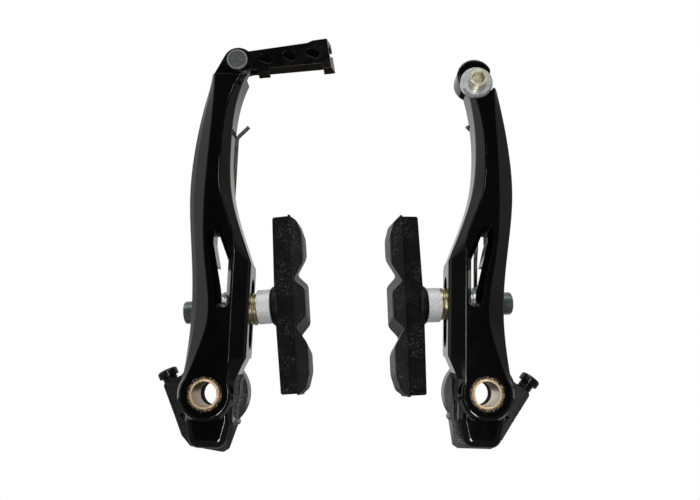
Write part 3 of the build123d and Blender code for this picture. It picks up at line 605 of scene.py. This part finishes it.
camera = bpy.data.objects.new("camera", bpy.data.cameras.new("camera"))
bpy.context.scene.collection.objects.link(camera)
camera.location = CAMERA_PLACE
camera.rotation_euler = (math.radians(90 + CAMERA_PITCH), 0, 0)
camera.data.lens = CAMERA_LENS
camera.data.sensor_width = CAMERA_SENSOR
camera.data.clip_start = CAMERA_NEAR
bpy.context.scene.camera = camera


# The room, dark behind the camera. Brightness that gloss sees: how far back it looks, and the
# level there; how much the left is brighter than the right; and the level for dull surfaces
ROOM = ((0.0, 0.012), (0.05, 0.02), (0.12, 0.12), (0.24, 0.56), (0.5, 0.5), (1.0, 0.68))
ROOM_SIDE = 0.5
DIFFUSE_LEVEL = 0.6


def room_level(tree):
    """Brightness of the room by direction."""
    direction = add_node(tree, "TexCoord").outputs["Generated"]
    split = add_node(tree, "SeparateXYZ", {0: direction}).outputs
    back = add_node(tree, "MapRange", {"Value": split["Y"], "From Min": -1.0})
    stops = [(at, grey(level)) for at, level in ROOM]
    depth = colour_ramp(tree, back.outputs["Result"], stops)
    side = add_node(
        tree,
        "MapRange",
        {
            "Value": split["X"],
            "From Min": -1.0,
            "To Min": 1 + ROOM_SIDE,
            "To Max": 1 - ROOM_SIDE,
        },
    )
    parts = {0: depth, 1: side.outputs["Result"]}
    return add_node(tree, "Math", parts, operation="MULTIPLY").outputs[0]


def studio_world():
    """White to the camera, the room to gloss, and an even light to dull surfaces."""
    world = bpy.data.worlds.new("studio")
    bpy.context.scene.world = world
    world.use_nodes = True
    tree = world.node_tree
    tree.nodes.clear()

    def background(strength):
        inputs = {"Color": WHITE, "Strength": strength}
        return add_node(tree, "Background", inputs).outputs[0]

    rays = add_node(tree, "LightPath").outputs
    lit = {0: rays["Is Glossy Ray"], 1: background(DIFFUSE_LEVEL), 2: background(room_level(tree))}
    light = add_node(tree, "MixShader", lit).outputs[0]
    clear = {0: rays["Is Camera Ray"], 1: rays["Is Transmission Ray"]}
    seen = add_node(tree, "Math", clear, operation="MAXIMUM").outputs[0]
    shown = add_node(tree, "MixShader", {0: seen, 1: light, 2: background(1.0)}).outputs[0]
    add_node(tree, "OutputWorld", {"Surface": shown})


studio_world()


# Lamps, all facing the middle of the object: place and size in metres, power in watts
MIDDLE = (0.0, -0.01, 0.05)
LAMPS = {
    "strip": ((0.06, -0.95, 0.05), (0.02, 0.9), 2.2),
    "low_box": ((0.0, -0.85, -0.32), (0.08, 0.2), 1.2),
    "top_box": ((0.0, -0.45, 0.9), (0.8, 0.5), 4.0),
}


def lamp(name, place, size, power):
    """A rectangular soft box that faces the object."""
    data = bpy.data.lights.new(name, "AREA")
    data.shape = "RECTANGLE"
    data.size, data.size_y = size
    data.energy = power
    obj = bpy.data.objects.new(name, data)
    bpy.context.scene.collection.objects.link(obj)
    obj.location = place
    ahead = Vector(MIDDLE) - Vector(place)
    obj.rotation_euler = ahead.to_track_quat("-Z", "Y").to_euler()


for name, (place, size, power) in LAMPS.items():
    lamp(name, place, size, power)


# Floor, far enough below the object to keep its soft shadow out of the picture
FLOOR_DROP = 0.5
FLOOR_SIZE = 8.0
# What gloss sees of it: a bright band behind the object, as shares of a reach and levels
FLOOR_GLOSS = ((0.1, 0.12), (0.25, 0.55), (0.42, 0.55), (0.52, 0.04))
FLOOR_REACH = 2.0


def floor_white():
    """White paper to dull surfaces, plain white to the camera and the bright band to gloss."""
    s = Surface("floor_white", Roughness=0.9)
    s.feed(Base_Color=s.tones(s.noise(0.3), grey(0.84), grey(0.88)))
    rays = s.node("LightPath").outputs
    behind = s.remap(s.spot("Y"), 0.0, FLOOR_REACH, 0.0, 1.0)
    gloss = s.ramp(behind, *[(at, grey(level)) for at, level in FLOOR_GLOSS])
    clear = s.maths("MAXIMUM", rays["Is Camera Ray"], rays["Is Transmission Ray"])
    glow = s.node("Emission", {"Strength": s.maths("MAXIMUM", clear, gloss)}).outputs[0]
    seen = s.maths("MAXIMUM", clear, rays["Is Glossy Ray"])
    shown = s.node("MixShader", {0: seen, 1: s.bsdf.outputs[0], 2: glow}).outputs[0]
    s.tree.links.new(shown, s.tree.nodes["Material Output"].inputs["Surface"])
    return s.material


bpy.ops.mesh.primitive_plane_add(size=FLOOR_SIZE, location=(0, 0, -FLOOR_DROP))
floor = bpy.context.object
floor.name = "floor"
floor.data.materials.append(floor_white())

bpy.context.scene.view_settings.view_transform = "Standard"
